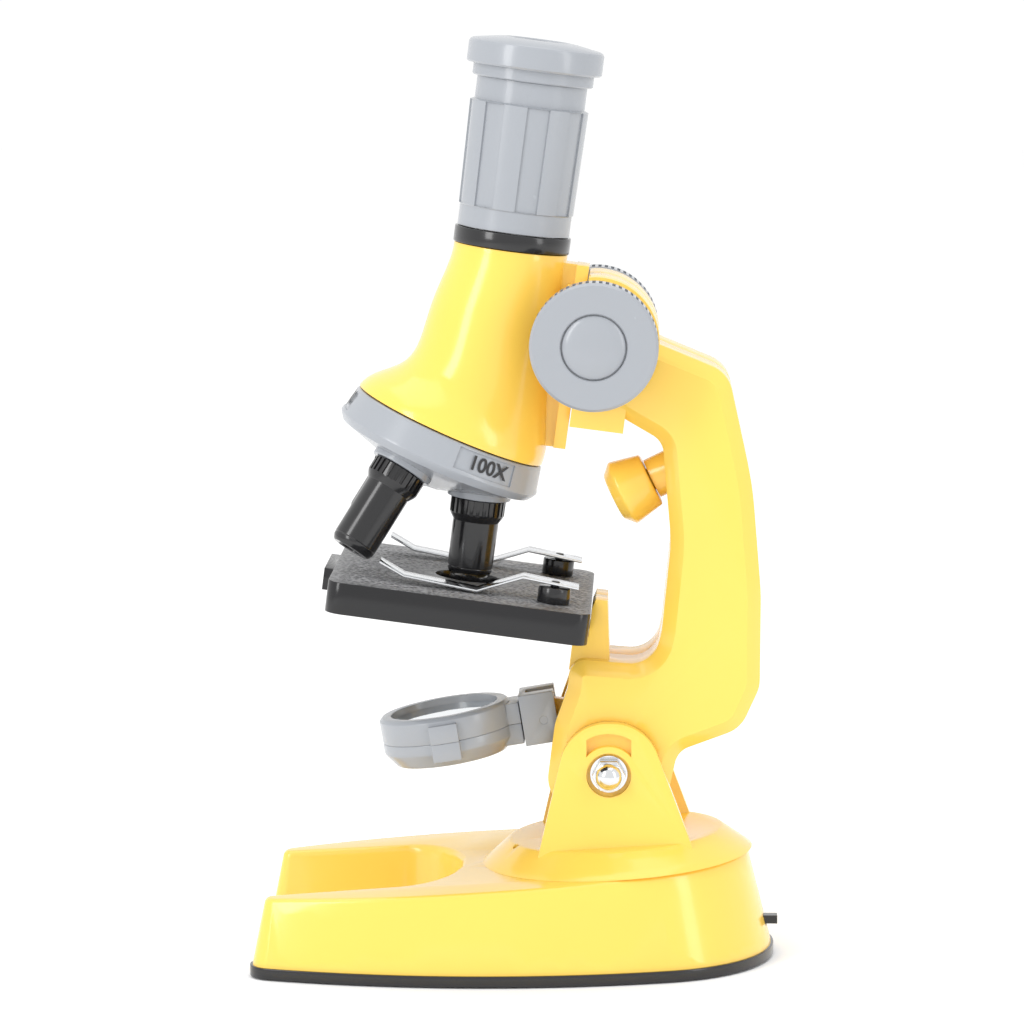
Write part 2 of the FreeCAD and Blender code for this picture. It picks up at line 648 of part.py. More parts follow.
# The housing round the focus shaft: a block and a round cover, hollow, with a slot for the rack.
shaft_x, shaft_z = d.shaft_x, d.shaft_z
house_half = d.arm_half - 1.2
house_low = 80.3
cover = cross_rod(d.cover_r, -house_half, house_half, shaft_x, shaft_z)
front_trim = box((-60, d.rail_back + 0.3), (-30, 30), (60, 130))
block = box((d.rail_back + 0.3, -7.3), (-house_half, house_half), (house_low, shaft_z))
housing = cut(join(cover, block), front_trim)
inner_half = house_half - arm_wall
housing_core = cut(join(cross_rod(d.cover_r - arm_wall, -inner_half, inner_half, shaft_x, shaft_z),
                        box((-30, -9.5), (-inner_half, inner_half), (house_low + arm_wall, shaft_z))),
                   box((-60, d.rail_back + 0.3 + arm_wall), (-30, 30), (60, 130)))
rack_slot = box((-24, -15), (-3.9, 3.9), (house_low + 2.4, shaft_z + 9.5))
lips = []
LIP_LOW, LIP_HIGH = 91.5, 113.0
for side in (-1, 1):
    inner_y, outer_y = sorted((side * 6.3, side * 8.6))
    lips.append(box((-24.7, -18.2), (inner_y, outer_y), (LIP_LOW, LIP_HIGH)))
    hook_y = sorted((side * 4.4, side * 8.6))
    lips.append(box((-24.7, -23.5), hook_y, (LIP_LOW, LIP_HIGH)))

# The stage post and the tongue under the stage.
POST_HALF = 9.0
post = slab([(-12.6, 22.0), (-12.6, 30.4), (-9.0, 30.4), (-9.0, 37.4), (-8.4, 39.6), (-5.6, 39.6),
             (-3.2, 25.0), (-3.2, 22.0)], -POST_HALF, POST_HALF)
STAGE_SCREWS = [(-15, -5), (-15, 5)]
tongue = box((-33, -8), (-8, 8), (29.7, 32.2))
tongue_ways = [rod(1.0, 29, 33, x, y) for x, y in STAGE_SCREWS]
tongue_pits = [rod(2.1, 29, 31.32, x, y) for x, y in STAGE_SCREWS]
post_core = slab([(-10.4, 20.0), (-10.4, 28.0), (-7.0, 37.4), (-6.4, 37.4), (-5.0, 26.0), (-5.0, 20.0)],
                 -POST_HALF + 2, POST_HALF - 2)

# The pocket in the arm's front that lets the lamp tilt.
lamp_pocket = box((-16, -8.6), (-7.6, 7.6), (0.5, 20.5))
lamp_pocket_wall = box((-13.5, -6.6), (-9.2, 9.2), (-1.0, 22.0))
pocket_block = common(lamp_pocket_wall, arm_body)

PILLARS = [(24, 22), (27.0, 45), (18, 83), (2, 91)]
pillars = [cross_rod(3.2, 0.5 - arm_half, arm_half - 0.5, x, z) for x, z in PILLARS]
boss = cross_rod(5.6, 0.5 - arm_half, arm_half - 0.5)
arm_hollow = cut(join(arm_core, housing_core, post_core), pocket_block, *pillars, boss)
shaft_way = cross_rod(3.4, -30, 30, shaft_x, shaft_z)
sleeve_way = cross_rod(3.2, -30, 30)
knob_way = rod(2.6, -14, 3)
knob_way.Placement = move(d.arm_knob_x, 0, d.arm_knob_z) * turn_y(num(d.arm_knob_turn)) * move(0, 0, -14)
neck_way = rod(3.05, 0, 12)
neck_way.Placement = move(-9, 0, 10.9) * turn_y(90)
knob_boss = rod(4.9, -6, -0.35)
knob_boss.Placement = ARM.inverse() * ARM_KNOB * move(0, 0, -6)
whole_arm = cut(join(arm_body, housing, post, tongue, knob_boss, *lips), arm_hollow, rack_slot, lamp_pocket,
                shaft_way, sleeve_way, knob_way, neck_way, *tongue_ways, *tongue_pits)
screw_ways = join(*[cross_rod(1.0, -12, 9, x, z) for x, z in PILLARS])
heads = join(*[cross_rod(2.4, arm_half - 2.6, arm_half + 1, x, z) for x, z in PILLARS])
near_half = box((-60, 60), (-40, 0), (-40, 140))
far_half = box((-60, 60), (0, 40), (-40, 140))
node("arm_near_shell", cut(common(whole_arm, near_half), screw_ways), ARM)
node("arm_far_shell", cut(common(whole_arm, far_half), heads,
                          join(*[cross_rod(1.4, -1, arm_half, x, z) for x, z in PILLARS])), ARM)
arm_screws = [join(cross_rod(2.2, arm_half - 2.6, arm_half - 1.0, x, z),
                   cross_rod(1.1, -10, arm_half - 2.5, x, z)) for x, z in PILLARS]
node("arm_screws", group(*arm_screws), ARM)
node("pivot_sleeve", cut(cross_rod(3.15, -d.arm_half - 0.25, d.arm_half + 0.25),
                         cross_rod(d.bolt_r + d.fit, -30, 30)), ARM)
bushes = []
for side in (-1, 1):
    inside, outside = sorted((side * (house_half - 4), side * (house_half + 0.8)), key=num)
    bushes.append(cut(cross_rod(3.35, inside, outside, shaft_x, shaft_z),
                      cross_rod(d.shaft_r + d.fit, -40, 40, shaft_x, shaft_z)))
node("shaft_bushes", group(*bushes), ARM)

# ---------------------------------------------------------------- stage and clips
stage_low = d.stage_top - d.stage_thick
plate_corners = [(d.stage_front, -d.stage_half), (d.stage_back, -d.stage_half),
                 (d.stage_back, d.stage_half), (d.stage_front, d.stage_half)]
top_plate = slab(plate_corners, stage_low, d.stage_top, "XY_Plane")
for u, v in plate_corners:
    soften(top_plate, 4.0, near_line(u, v, "xy"))
stage_core = box((d.stage_front + d.stage_wall, d.stage_back - d.stage_wall),
                 (d.stage_wall - d.stage_half, d.stage_half - d.stage_wall),
                 (stage_low - 1, d.stage_top - 2.2))
light_hole = rod(8.0, stage_low - 1, d.stage_top + 1, d.axis_x)
light_ring = rod(10.0, d.stage_top - 6, d.stage_top - 2, d.axis_x)
tongue_room = box((-34, -8.9), (-9.3, 9.3), (stage_low - 1, d.stage_top - 2.2))
stage_lug = box((d.stage_front - 2.4, d.stage_front + 1), (-12, 12), (stage_low + 1.5, d.stage_top - 0.6))
stage_bosses = [rod(2.6, 32.2, d.stage_top - 2, x, y) for x, y in STAGE_SCREWS]
stage_pilots = [rod(0.9, 31, d.stage_top - 1.6, x, y) for x, y in STAGE_SCREWS]
pin_ways = [rod(1.4, stage_low, d.stage_top + 1, d.post_x, side * d.post_y) for side in (-1, 1)]
ribs = [box((d.stage_front + 1, d.stage_back - 1), (y - 0.6, y + 0.6), (stage_low + 1.5, d.stage_top - 2))
        for y in (-18, 18)]
skirt = join(cut(top_plate, stage_core), light_ring, stage_lug, *stage_bosses, *ribs)
node("stage", cut(skirt, light_hole, tongue_room, *stage_pilots, *pin_ways), ARM)
node("stage_screws", screws_at([(x, y, 29.7) for x, y in STAGE_SCREWS], 7.0, flip=True,
                               thread_r=0.9, head_r=2.0), ARM)
posts = []
for side in (-1, 1):
    y = side * d.post_y
    posts.append(join(rod(1.35, d.stage_top - 2.2, d.stage_top + 0.2, d.post_x, y),
                      rod(d.post_r, d.stage_top, d.stage_top + d.post_high, d.post_x, y),
                      rod(1.0, d.stage_top + 1, d.stage_top + d.post_high + 1.4, d.post_x, y)))
node("clip_posts", group(*posts), ARM)

# A spring clip: a bent steel strip that pivots on its post and presses on the stage at its bend.
CLIP_LINE = [(-12.8, 4.0), (-26.0, 5.0), (-36.5, 0.35), (-53.8, 1.6), (-59.8, 4.2)]
clip_lift = num(d.stage_top)


def clip(side):
    """One clip on its side of the stage."""
    strip = num(d.clip_thick)
    upper = [(x, clip_lift + z + strip) for x, z in CLIP_LINE]
    lower = [(x, clip_lift + z) for x, z in reversed(CLIP_LINE)]
    item = slab(upper + lower, -d.clip_wide * 0.5, d.clip_wide * 0.5)
    item.Placement = move(0, side * num(d.post_y) - side * 1.0, 0)
    hole = rod(1.05, clip_lift, clip_lift + 6, d.post_x, side * d.post_y)
    clear = rod(d.post_r + 0.3, clip_lift - 1, d.stage_top + d.post_high + 0.05, d.post_x, side * d.post_y)
    return cut(item, hole, clear)


node("stage_clip_near", clip(-1), ARM)
node("stage_clip_far", clip(1), ARM)

# ---------------------------------------------------------------- lamp
neck = rod(3.0, 0, 9.0)
neck.Placement = move(-8.6, 0, 10.9) * turn_y(90)
tilt_x = num(d.neck_at) - 0.2
eye_at = LAMP.multVec(Vector(tilt_x, 0, 0))
eye = ARM.inverse().multVec(eye_at)
tongue_link = box((eye.x, -8.6), (-1.8, 1.8), (eye.z - 1.2, 13.4))
tongue_pad = cut(join(cross_rod(3.0, -1.8, 1.8, eye.x, eye.z), tongue_link),
                 cross_rod(1.05, -3, 3, eye.x, eye.z))
node("lamp_stub", join(neck, box((-9.6, -8.6), (-4, 4), (6.8, 15.0)), tongue_pad), ARM)
node("lamp_lead", lead([(0.45, 0, 10.9), (4.6, 0, 11.4), (8.6, 0, 8.0), (9.2, 0, 1.0), (8.2, 0, -5.5)], 0.5),
     ARM)
lamp_half = d.lamp_thick * 0.5
block_in, block_out = 18.3, d.neck_at + 3.0
swivel = box((block_in, block_out), (-6.4, 6.4), (-5.6, 6.6))
swivel_slot = box((tilt_x - 3.6, 40), (-2.1, 2.1), (-10, 10))
swivel_bore = rod(2.05, 0, 4.0)
swivel_bore.Placement = move(block_in - 0.1, 0, 0) * turn_y(90)
swivel_pin_way = cross_rod(1.0, -8, 8, tilt_x, 0)
node("swivel_block", cut(swivel, swivel_slot, swivel_bore, swivel_pin_way), LAMP)
node("swivel_pin", cross_rod(0.98, -6.3, 6.3, tilt_x, 0), LAMP)

ring_outer = turned([(0, -lamp_half + 1.2), (1.2, -lamp_half), (d.lamp_r - 2.4, -lamp_half),
                     (d.lamp_r, -lamp_half + 3.4), (d.lamp_r, lamp_half - 0.8),
                     (d.lamp_r - 0.8, lamp_half), (0, lamp_half)])
ear_boss = box((-3.4, 3.4), (-d.lamp_r - 1.2, -d.lamp_r + 2), (-4.4, 4.4))
hub = box((10, 18.0), (-5.4, 5.4), (-5.0, 5.0))
spindle = rod(2.0, 0, 2.2)
spindle.Placement = move(17.8, 0, 0) * turn_y(90)
case = join(ring_outer, ear_boss, hub)
mirror_seat = rod(d.mirror_r, lamp_half - 3.0, 20)
lamp_room = rod(d.lamp_r - 2.2, 1.2 - lamp_half, lamp_half - 5.0)
lamp_window = rod(8.0, -20, -lamp_half + 3)
upper_half = box((-40, 40), (-30, 30), (0.02, 30))
node("lamp_upper_ring", cut(common(case, upper_half), mirror_seat, lamp_room), LAMP)
node("lamp_lower_ring", join(cut(common(case, box((-40, 40), (-30, 30), (-30, 0))), lamp_room, lamp_window),
                             cut(spindle, box((0, 18.0), (-9, 9), (-9, 9)))), LAMP)
node("mirror", rod(d.mirror_r - 0.15, lamp_half - 3.0, lamp_half - 1.6), LAMP)
node("lamp_lens", turned([(0, -lamp_half - 0.9), (5.0, -lamp_half - 0.5), (7.9, -lamp_half + 0.4),
                          (7.9, -lamp_half + 1.2), (9.4, -lamp_half + 1.2), (9.4, -lamp_half + 2.0),
                          (0, -lamp_half + 2.0)]), LAMP)
node("lamp_board", join(rod(9.0, 0.4 - 2.0, -0.4), rod(2.5, -3.4, -1.4)), LAMP)

# ---------------------------------------------------------------- arm knob
node("arm_knob", turned([(0, -9.0), (2.5, -9.0), (2.5, 0), (6.5, 0), (8.1, 7.5), (5.6, 9.9),
                         (0, 9.9)]), ARM_KNOB)

# ---------------------------------------------------------------- focus shaft
node("pinion_shaft", cross_rod(d.shaft_r, -27.5, 27.5), SHAFT)
tooth_tip, tooth_root = num(d.pitch_r) + 0.72, num(d.pitch_r) - 0.95
teeth = int(num(d.teeth))
points = []
for step in range(teeth):
    for part, radius in ((-0.30, tooth_root), (-0.13, tooth_tip), (0.13, tooth_tip), (0.30, tooth_root)):
        angle = 2 * math.pi * (step + part) / teeth
        points.append((radius * math.sin(angle), radius * math.cos(angle)))
gear = slab([(x, z) for x, z in points], -3.0, 3.0)
node("pinion", cut(gear, cross_rod(d.shaft_r, -5, 5)), SHAFT)
for name, side in (("focus_knob_near", -1), ("focus_knob_far", 1)):
    knob = turned([(0, 0), (d.knob_r - 0.8, 0), (d.knob_r, 0.8), (d.knob_r, d.knob_out - d.knob_in - 0.8),
                   (d.knob_r - 0.8, d.knob_out - d.knob_in), (0, d.knob_out - d.knob_in)])
    seat = rod(d.knob_cap_r, d.knob_out - d.knob_in - 1.2, 20)
    core = cut(rod(d.knob_r - 2.0, -1, 4.0), rod(4.2, -2, 5))
    shaft_hole = rod(d.shaft_r, -6, 6.4)
    facing = Placement(Vector(0, side * num(d.knob_in), 0), Rotation(Vector(1, 0, 0), -90 * side))
    collar = rod(5.0, -4.6, 0.1)
    node(name, cut(join(cut(knob, seat, core), collar), shaft_hole), SHAFT * facing)
caps = []
for side in (-1, 1):
    cap = turned([(0, 0), (d.knob_cap_r - 0.1, 0), (d.knob_cap_r - 0.1, 0.9), (5.4, 1.5), (0, 1.7)])
    cap.Placement = Placement(Vector(0, side * (num(d.knob_out) - 1.2), 0),
                              Rotation(Vector(1, 0, 0), -90 * side))
    caps.append(cap)
node("knob_caps", group(*caps), SHAFT)

# ---------------------------------------------------------------- tube with its flared bell
BELL = [  # centre X from the tube axis, height, radius, lean in degrees
    (0.0, 119.2, 13.55, 0.0), (-0.8, 110.5, 14.3, 2.0), (-2.1, 100.5, 15.4, 5.0),
    (-2.9, 91.0, 16.4, 9.0), (-4.2, 84.5, 18.6, 13.0), (-7.15, 78.7, 22.5, 16.5),
    (-8.83, 75.6, 23.7, 16.5),
]


def bell(shrink, top_up=0.0):
    """The flared tube body as a loft of circles that lean more and more towards the turret."""
    rings = []
    for index, (x, z, radius, lean) in enumerate(BELL):
        ring = doc.addObject("Part::Circle", "Ring")
        ring.Radius = radius - shrink
        lift = top_up if index == 0 else (-top_up if index == len(BELL) - 1 else 0)
        ring.Placement = move(x, 0, z) * turn_y(lean) * move(0, 0, lift)
        rings.append(ring)
    body = doc.addObject("Part::Loft", "Bell")
    body.Sections = rings
    body.Solid = True
    return body


axis_x = d.axis_x
rail_x = (-26.6 - axis_x, d.rail_back - axis_x)
rail = join(box((rail_x[0], rail_x[1] - 2.9), (-4.1, 4.1), (d.rail_low, d.rail_high)),
            box((rail_x[1] - 2.9, rail_x[1]), (-d.rail_half, d.rail_half), (d.rail_low, d.rail_high)))
rack_seat = box((rail_x[1] - 1.9, rail_x[1] + 1), (-3.1, 3.1), (d.rail_low + 4, d.rail_high - 0.5))
RACK_SCREWS = [80.5, 115.0]
rack_pilots = [rod(0.8, 0, 4) for _ in RACK_SCREWS]
for pilot, z in zip(rack_pilots, RACK_SCREWS):
    pilot.Placement = move(rail_x[1] - 5.5, 0, z) * turn_y(90)
node("tube_body", cut(join(bell(0), rail), bell(1.8, 0.6), rack_seat, *rack_pilots), TUBE)

pitch_line = shaft_x - axis_x - d.pitch_r
pitch = 2 * math.pi * num(d.pitch_r) / teeth
rack_low, rack_high = num(d.rail_low) + 4.1, num(d.rail_high) - 0.6
tip_x, root_x, back_x = num(pitch_line) + 0.62, num(pitch_line) - 0.95, num(rail_x[1]) - 1.88
profile = [(back_x, rack_low), (root_x, rack_low)]
first = math.ceil((rack_low + 6 - num(shaft_z)) / pitch)
last = math.floor((rack_high - 4.6 - num(shaft_z)) / pitch)
for step in range(first, last + 1):
    middle = num(shaft_z) + step * pitch
    profile += [(root_x, middle - 0.32 * pitch), (tip_x, middle - 0.14 * pitch),
                (tip_x, middle + 0.14 * pitch), (root_x, middle + 0.32 * pitch)]
profile += [(root_x, rack_high), (back_x, rack_high)]
rack = slab(profile, -3.0, 3.0)
rack_ways = [rod(0.9, 0, 6) for _ in RACK_SCREWS]
for way, z in zip(rack_ways, RACK_SCREWS):
    way.Placement = move(back_x - 1, 0, z) * turn_y(90)
node("rack", cut(rack, *rack_ways), TUBE)
rack_screws = []
for z in RACK_SCREWS:
    item = join(rod(1.7, 0, 0.7), rod(0.78, -3.4, 0.1))
    item.Placement = move(root_x + 0.02, 0, z) * turn_y(90)
    rack_screws.append(item)
node("rack_screws", group(*rack_screws), TUBE)

node("tube_collar", turned([(11.3, 113.0), (11.7, 113.0), (11.7, d.collar_low), (d.collar_r, d.collar_low),
                            (d.collar_r, d.collar_high), (10.2, d.collar_high), (10.2, 118.0),
                            (11.3, 118.0)]), TUBE)
node("tube_liner", turned([(7.0, 84.6), (7.8, 84.6), (11.2, 96.0), (11.2, 112.6), (10.4, 112.6),
                           (10.4, 96.4), (7.0, 85.2)]), TUBE)

# The plate inside the bell that carries the turret screw.
seam = -d.seam_drop
plate_disc = rod(20.6, seam + 0.6, seam + 2.6)
light_x = 30.0 * math.tan(math.radians(num(d.turret_lean)))
node("turret_plate", cut(join(plate_disc, rod(3.6, seam + 2.5, seam + 7.5)), rod(1.1, seam, seam + 8),
                         rod(4.6, seam - 1, seam + 4, light_x)), TURRET)
node("detent_spring", join(box((-17.5, -8.0), (-2, 2), (seam + 0.05, seam + 0.55)),
                           rod(1.2, seam - 0.25, seam + 0.2, -16.0)), TURRET)

# ---------------------------------------------------------------- eyepiece
low = d.barrel_low
node("eyepiece_barrel", turned([
    (11.4, low), (13.4, low), (13.4, 128.3), (13.65, 128.6), (d.grip_r, 153.1), (13.1, 153.5),
    (13.1, 158.8), (11.4, 158.8)]), TUBE)
node("eyepiece_cap", turned([
    (9.8, 156.2), (11.3, 156.2), (11.3, 158.9), (14.35, 158.9), (14.35, 161.8), (d.cap_r, 162.0),
    (d.cap_r, 166.9), (15.4, 167.7), (d.eye_r + 0.3, 168.9), (d.eye_r, 168.6), (d.eye_r, 164.0),
    (9.8, 163.0)]), TUBE)
node("eye_lens", turned([(0, 161.6), (9.7, 162.0), (9.7, 162.9), (7.1, 163.9), (0, 165.6)]), TUBE)
node("field_lens", turned([(0, 131.0), (11.2, 131.8), (11.2, 133.2), (0, 135.0)]), TUBE)

# ---------------------------------------------------------------- turret
drum_low = -d.drum_drop
cone_edge, cone_mid = drum_low - 2.0, drum_low - 9.2
drum = turned([(0, seam - 0.3), (d.seam_r, seam - 0.3), (d.drum_r, drum_low), (24.0, cone_edge),
               (0, cone_mid)])
drum_core = turned([(3.6, seam - 2.3), (21.6, seam - 2.3), (23.2, drum_low), (22.4, cone_edge + 1.4),
                    (3.6, cone_mid + 3.6)])
pads, ways, seats = [], [], []
COLLET_SPOTS = [turn_z(120.0 * place) * turn_y(-num(d.turret_lean)) for place in range(3)]
for spot in COLLET_SPOTS:
    for group_of, radius, start, end in ((pads, 7.6, -d.collet_drop + 0.02, -43.0),
                                         (ways, 4.3, -d.collet_drop - 2, -30),
                                         (seats, d.collet_r + 0.2, -52.0, -d.collet_drop)):
        item = rod(radius, start, end)
        item.Placement = spot * move(0, 0, start)
        group_of.append(item)
hub_way = rod(1.5, cone_mid - 2, seam + 1)
hub_pit = rod(3.0, cone_mid - 2, cone_mid + 2.0)
detents = [rod(1.6, seam - 1.0, seam, 16.0 * math.cos(math.radians(a)), 16.0 * math.sin(math.radians(a)))
           for a in (60, 180, 300)]
top_ways = []
for place in range(3):
    way = rod(4.6, seam - 4, seam + 1, light_x)
    way.Placement = turn_z(120.0 * place) * way.Placement
    top_ways.append(way)
node("turret_drum", cut(join(cut(drum, drum_core), *pads), hub_way, hub_pit, *ways, *seats, *detents,
                         *top_ways),
     TURRET)
node("turret_screw", join(rod(2.8, cone_mid + 0.4, cone_mid + 2.0), rod(1.45, cone_mid + 1.9, seam + 0.3),
                          rod(1.08, seam + 0.2, seam + 6.5)), TURRET)
node("spring_washer", cut(rod(3.4, seam - 0.26, seam + 0.56), rod(1.6, seam - 1, seam + 2)), TURRET)
OBJECTIVES = [("objective_100x", d.short_drop), ("objective_400x", d.short_drop),
              ("objective_1200x", d.long_drop)]
for spot, (name, drop) in zip(COLLET_SPOTS, OBJECTIVES):
    start = -d.collet_drop
    barrel = turned([
        (3.2, start + 3.6), (4.2, start + 3.6), (4.2, start), (d.collet_r, start),
        (d.collet_r - 0.3, start - 5.4), (d.objective_r, start - 5.6), (d.objective_r - 0.1, 1.6 - drop),
        (d.tip_r, -drop), (2.2, -drop), (2.2, 1.4 - drop), (3.2, 2.6 - drop)])
    node(name, barrel, TURRET * spot)
lenses = []
for spot, (_, drop) in zip(COLLET_SPOTS, OBJECTIVES):
    lens = rod(2.15, 0, 1.2)
    lens.Placement = spot * move(0, 0, 0.2 - drop)
    lenses.append(lens)
node("objective_lenses", group(*lenses), TURRET)

# ---------------------------------------------------------------- check and write
doc.recompute()
for item in doc.Objects:
    if "Invalid" in item.State or "Error" in item.State:
        raise RuntimeError("{} ({}) failed: {}".format(item.Name, item.Label, item.State))
labels = [item.Label for item in NODES]
if len(set(labels)) != len(labels):
    raise RuntimeError("two sub-parts share a name")
os.makedirs("parts", exist_ok=True)
for item in NODES:
    if item.Shape.isNull() or not item.Shape.isValid() or not item.Shape.Solids:
        raise RuntimeError(item.Label + " has no valid solid")
    item.Shape.exportStep(os.path.join("parts", item.Label + ".step"))
whole = Part.makeCompound([item.Shape for item in NODES]).BoundBox
print("{} sub-parts, {:.2f} x {:.2f} x {:.2f} mm".format(
    len(NODES), whole.XLength, whole.YLength, whole.ZLength))
print("x {:.2f} {:.2f}  y {:.2f} {:.2f}  z {:.2f} {:.2f}".format(
    whole.XMin, whole.XMax, whole.YMin, whole.YMax, whole.ZMin, whole.ZMax))
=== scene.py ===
# %% [markdown]
# # A child's table microscope
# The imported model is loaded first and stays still. Every piece made here is placed from its boxes and
# joints, so it fits without any fitting by hand.

# %% Load the frame
import json
import math

import bpy
from mathutils import Matrix, Vector


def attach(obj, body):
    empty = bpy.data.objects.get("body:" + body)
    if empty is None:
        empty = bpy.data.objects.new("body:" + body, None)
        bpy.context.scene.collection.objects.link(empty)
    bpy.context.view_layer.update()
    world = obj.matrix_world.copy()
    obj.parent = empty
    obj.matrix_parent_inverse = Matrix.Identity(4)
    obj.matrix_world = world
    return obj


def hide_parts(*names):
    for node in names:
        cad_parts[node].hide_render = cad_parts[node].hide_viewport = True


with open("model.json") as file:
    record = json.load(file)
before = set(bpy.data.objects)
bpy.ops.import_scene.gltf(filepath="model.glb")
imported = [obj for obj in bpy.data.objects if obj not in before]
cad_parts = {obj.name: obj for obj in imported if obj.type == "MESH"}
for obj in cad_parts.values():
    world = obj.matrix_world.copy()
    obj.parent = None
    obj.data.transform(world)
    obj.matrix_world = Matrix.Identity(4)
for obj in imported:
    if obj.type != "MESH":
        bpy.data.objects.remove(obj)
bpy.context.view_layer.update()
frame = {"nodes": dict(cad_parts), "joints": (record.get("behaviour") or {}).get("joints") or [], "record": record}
nodes = frame["nodes"]
joints = {joint["name"]: joint for joint in frame["joints"]}

MM = 0.001

# %% [markdown]
# ## Where things are
# The arm leans on its bolt, and nearly everything rides on the arm. Its frame comes from two joints: the
# tilt gives the pivot, and the slide of the tube gives the direction that counts as up along the arm.

# %% Frames of the arm, the turret and the lamp


def up_frame(origin, up):
    """A frame at origin whose Z points along up and whose Y stays level, across the toy."""
    up = Vector(up).normalized()
    across = Vector((0, 1, 0))
    ahead = across.cross(up).normalized()
    turn = Matrix((ahead, across, up)).transposed().to_4x4()
    return Matrix.Translation(Vector(origin)) @ turn


ARM = up_frame(joints["arm_tilt"]["pos_m"], joints["focus_slide"]["axis"])
tube_foot = ARM.inverted() @ Vector(joints["eyepiece_turn"]["pos_m"])
TUBE = ARM @ Matrix.Translation((tube_foot.x, 0, 0))
TURRET = up_frame(joints["turret_turn"]["pos_m"], joints["turret_turn"]["axis"])
DRUM_LEAN = TURRET.to_3x3().col[2].angle(TUBE.to_3x3().col[2])
SHAFT = up_frame(joints["focus_knob"]["pos_m"], joints["focus_slide"]["axis"])
print("arm lean", round(math.degrees(ARM.to_euler().y), 2), "drum lean", round(math.degrees(DRUM_LEAN), 2))


def turn(axis, degrees):
    return Matrix.Rotation(math.radians(degrees), 4, axis)


def at(x=0, y=0, z=0):
    """A move in millimetres."""
    return Matrix.Translation((x * MM, y * MM, z * MM))


# %% [markdown]
# ## Finishes
# A finish is a few noise patterns on one Principled shader. A small class wraps a socket, so that the sums
# read as sums, and every pattern uses object coordinates, so that it stays put on its piece.

# %% A socket that can be added, multiplied and subtracted


class Wire:
    """One output socket of a material's nodes, with arithmetic."""

    def __init__(self, paint, socket):
        self.paint = paint
        self.socket = socket

    def math(self, operation, first, second):
        return self.paint.add("ShaderNodeMath", {"operation": operation}, {0: first, 1: second})

    def __add__(self, other):
        return self.math("ADD", self, other)

    def __sub__(self, other):
        return self.math("SUBTRACT", self, other)

    def __mul__(self, other):
        return self.math("MULTIPLY", self, other)

    def __rsub__(self, other):
        return self.math("SUBTRACT", other, self)

    __radd__ = __add__
    __rmul__ = __mul__


class Paint:
    """A material on one Principled shader."""

    def __init__(self, name, colour, roughness, **uniform):
        self.material = bpy.data.materials.new(name)
        self.material.use_nodes = True
        self.tree = self.material.node_tree
        self.shader = self.tree.nodes["Principled BSDF"]
        self.shader.inputs["Base Color"].default_value = (*colour, 1)
        self.shader.inputs["Roughness"].default_value = roughness
        for socket, value in uniform.items():
            self.shader.inputs[socket.replace("_", " ")].default_value = value

    def add(self, kind, settings=None, inputs=None, output=0):
        node = self.tree.nodes.new(kind)
        for name, value in (settings or {}).items():
            setattr(node, name, value)
        for key, value in (inputs or {}).items():
            if isinstance(value, Wire):
                self.tree.links.new(value.socket, node.inputs[key])
            else:
                node.inputs[key].default_value = value
        return Wire(self, node.outputs[output])

    def place(self):
        return self.add("ShaderNodeTexCoord", output="Object")

    def noise(self, scale, detail=3.0):
        return self.add("ShaderNodeTexNoise", None,
                        {"Vector": self.place(), "Scale": scale, "Detail": detail}, "Fac")

    def feed(self, socket, wire):
        self.tree.links.new(wire.socket, self.shader.inputs[socket])

    def blend(self, factor, first, second):
        """A colour between two colours."""
        return self.add("ShaderNodeMix", {"data_type": "RGBA"},
                        {"Factor": factor, "A": (*first, 1), "B": (*second, 1)}, "Result")

    def bump(self, height, strength, distance):
        self.feed("Normal", self.add("ShaderNodeBump", None,
                                     {"Height": height, "Strength": strength, "Distance": distance},
                                     "Normal"))


def linear(red, green, blue):
    """A screen colour, 0 to 255, as the linear values that a shader takes."""
    return tuple((v / 255 / 12.92) if v <= 10 else ((v / 255 + 0.055) / 1.055) ** 2.4
                 for v in (red, green, blue))


# %% [markdown]
# ## Moulded plastic
# Polished ABS isn't flat: the steel of its mould leaves a very shallow ripple, the gloss varies a little
# with handling, and the colour is a touch deeper in places. Each is one noise, far too weak to see alone.

# %% Moulded plastics


def moulded(name, colour, deeper, roughness, ripple=0.05, **uniform):
    paint = Paint(name, colour, roughness, **uniform)
    clouds = paint.noise(38.0)
    paint.feed("Base Color", paint.blend(clouds * 0.35, colour, deeper))
    handling = paint.noise(260.0, 4.0)
    paint.feed("Roughness", roughness + (handling - 0.5) * 0.10)
    paint.bump(paint.noise(95.0, 1.0), ripple, 0.0006)
    return paint.material


YELLOW = moulded("yellow_abs", (0.96, 0.64, 0.105), (0.95, 0.57, 0.075), 0.20,
                 Coat_Weight=0.3, Coat_Roughness=0.08)
GREY = moulded("grey_abs", linear(158, 162, 168), linear(150, 154, 160), 0.25, Coat_Weight=0.2)
BLACK = moulded("black_abs", linear(24, 24, 26), linear(19, 19, 21), 0.20, Coat_Weight=0.25)
SLEEVE_BLUE = moulded("cell_film", linear(60, 110, 168), linear(48, 92, 148), 0.25)
LEAD_RED = moulded("lead_pvc", linear(176, 48, 48), linear(150, 38, 40), 0.45)
BOARD_GREEN = moulded("board_mask", linear(48, 108, 70), linear(38, 90, 58), 0.30)
print("plastics made")

# %% [markdown]
# ## Metals, rubber, glass
# Plated steel gets fine rub marks in its gloss. The lens is clear plastic, and the mirror a thin plate
# with nothing in its way.

# %% Metals and the rest


def plated(name, colour, roughness, marks):
    paint = Paint(name, colour, roughness, Metallic=1.0)
    rubs = paint.noise(420.0, 5.0)
    paint.feed("Roughness", roughness + (rubs - 0.5) * marks)
    paint.bump(rubs, 0.04, 0.0002)
    return paint.material


